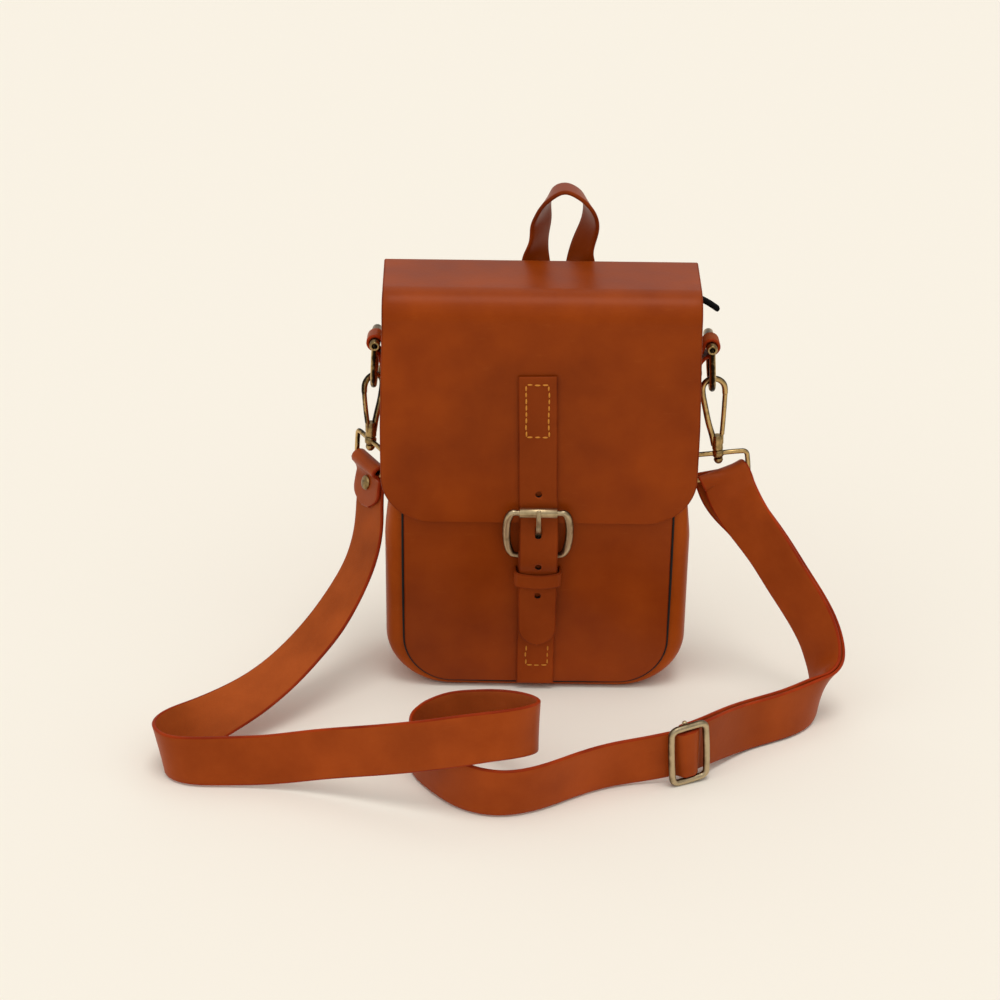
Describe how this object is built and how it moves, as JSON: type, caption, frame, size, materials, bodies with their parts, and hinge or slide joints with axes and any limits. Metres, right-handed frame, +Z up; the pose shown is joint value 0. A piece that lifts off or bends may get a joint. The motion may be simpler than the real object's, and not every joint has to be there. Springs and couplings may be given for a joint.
{
  "type": "sling bag",
  "caption": "Upright leather sling bag with a buckled flap, zipped top, haul loop, side snap hooks and a loose adjustable shoulder strap.",
  "frame": {"origin": "middle of the bag's bottom, on the floor it stands on", "axes": "+X to the right seen from the front, the front faces -Y, +Z up"},
  "size_m": [0.4279, 0.242, 0.3156],
  "materials": {
    "body_leather": "smooth waxed leather, satin",
    "strap_leather": "smooth leather, satin",
    "antique_brass": "darkened brass, worn bright on the high spots",
    "satin_brass": "brushed pale brass",
    "zip_tape": "woven black tape"
  },
  "bodies": {
    "bag": {"front_panel": "body_leather", "back_panel": "body_leather", "gusset": "body_leather", "top_facing_front": "body_leather", "top_facing_back": "body_leather", "flap_hem": "body_leather", "buckle_strap": "body_leather", "keeper": "body_leather", "haul_loop": "body_leather", "side_tab_left": "body_leather", "side_tab_right": "body_leather", "shoulder_strap": "strap_leather", "swivel_loop_left": "antique_brass", "swivel_loop_right": "antique_brass", "tab_rivet_left": "antique_brass", "tab_rivet_right": "antique_brass", "strap_rivet": "antique_brass", "zip_teeth": "antique_brass", "slider_frame": "satin_brass", "slider_bar": "satin_brass", "zip_tape_front": "zip_tape", "zip_tape_back": "zip_tape", "zip_tail": "zip_tape"},
    "flap_top": {"flap_top": "body_leather"},
    "flap_front": {"flap_front": "body_leather", "closure_strap": "body_leather", "closure_tail": "body_leather"},
    "zip_slider": {"zip_slider": "antique_brass"},
    "zip_puller": {"zip_puller": "antique_brass"},
    "buckle_frame": {"buckle_frame": "antique_brass"},
    "buckle_roller": {"buckle_roller": "satin_brass"},
    "buckle_prong": {"buckle_prong": "antique_brass"},
    "d_ring_left": {"d_ring_left": "antique_brass"},
    "d_ring_right": {"d_ring_right": "antique_brass"},
    "snap_hook_left": {"snap_hook_left": "antique_brass"},
    "snap_hook_right": {"snap_hook_right": "antique_brass"},
    "gate_left": {"gate_left": "antique_brass"},
    "gate_right": {"gate_right": "antique_brass"}
  },
  "joints": [
    {"name": "flap_lift", "type": "hinge", "parent": "bag", "child": "flap_top", "pos_m": [0, 0.03414, 0.26824], "axis": [-1, 0, 0], "range_deg": [0, 75], "deforming": ["flap_top"]},
    {"name": "flap_front_fold", "type": "hinge", "parent": "flap_top", "child": "flap_front", "pos_m": [0, -0.03293, 0.26473], "axis": [-1, 0, 0], "range_deg": [0, 67.5], "deforming": ["flap_front", "closure_tail"]},
    {"name": "zip_slide", "type": "slide", "parent": "bag", "child": "zip_slider", "axis": [-1, 0, 0], "range_m": [0, 0.135]},
    {"name": "puller_swing", "type": "hinge", "parent": "zip_slider", "child": "zip_puller", "pos_m": [0.066, 0, 0.2582], "axis": [0, 1, 0], "range_deg": [0, 60]},
    {"name": "frame_swing", "type": "hinge", "parent": "bag", "child": "buckle_frame", "pos_m": [0, -0.0384, 0.0985], "axis": [1, 0, 0], "range_deg": [0, 25]},
    {"name": "roller_spin", "type": "hinge", "parent": "buckle_frame", "child": "buckle_roller", "pos_m": [0, -0.0444, 0.1308], "axis": [1, 0, 0], "continuous": true},
    {"name": "prong_swing", "type": "hinge", "parent": "buckle_frame", "child": "buckle_prong", "pos_m": [0, -0.0384, 0.0985], "axis": [1, 0, 0], "range_deg": [0, 35]},
    {"name": "ring_swing_left", "type": "hinge", "parent": "bag", "child": "d_ring_left", "pos_m": [-0.1022, 0, 0.229], "axis": [0, 1, 0], "range_deg": [0, 1.5]},
    {"name": "ring_swing_right", "type": "hinge", "parent": "bag", "child": "d_ring_right", "pos_m": [0.1054, 0, 0.229], "axis": [0, -1, 0], "range_deg": [0, 1.5]},
    {"name": "hook_turn_left", "type": "hinge", "parent": "bag", "child": "snap_hook_left", "pos_m": [-0.1066, 0, 0.1595], "axis": [0.061, 0, 0.9981], "range_deg": [-4, 4]},
    {"name": "hook_turn_right", "type": "hinge", "parent": "bag", "child": "snap_hook_right", "pos_m": [0.1143, 0, 0.1535], "axis": [-0.1149, 0, 0.9934], "range_deg": [-25, 25]},
    {"name": "gate_left_open", "type": "hinge", "parent": "snap_hook_left", "child": "gate_left", "pos_m": [-0.10798, -0.00154, 0.167], "axis": [-0.6416, 0.766, 0.0392], "range_deg": [0, 16], "stiffness_Nm_per_rad": 0.02, "springref_deg": -17.19},
    {"name": "gate_right_open", "type": "hinge", "parent": "snap_hook_right", "child": "gate_right", "pos_m": [0.11583, 0, 0.16113], "axis": [0, -1, 0], "range_deg": [0, 16], "stiffness_Nm_per_rad": 0.02, "springref_deg": -17.19}
  ],
  "couplings": [
    {"joint": "flap_front_fold", "follows": "flap_lift", "ratio": 0.9}
  ]
}
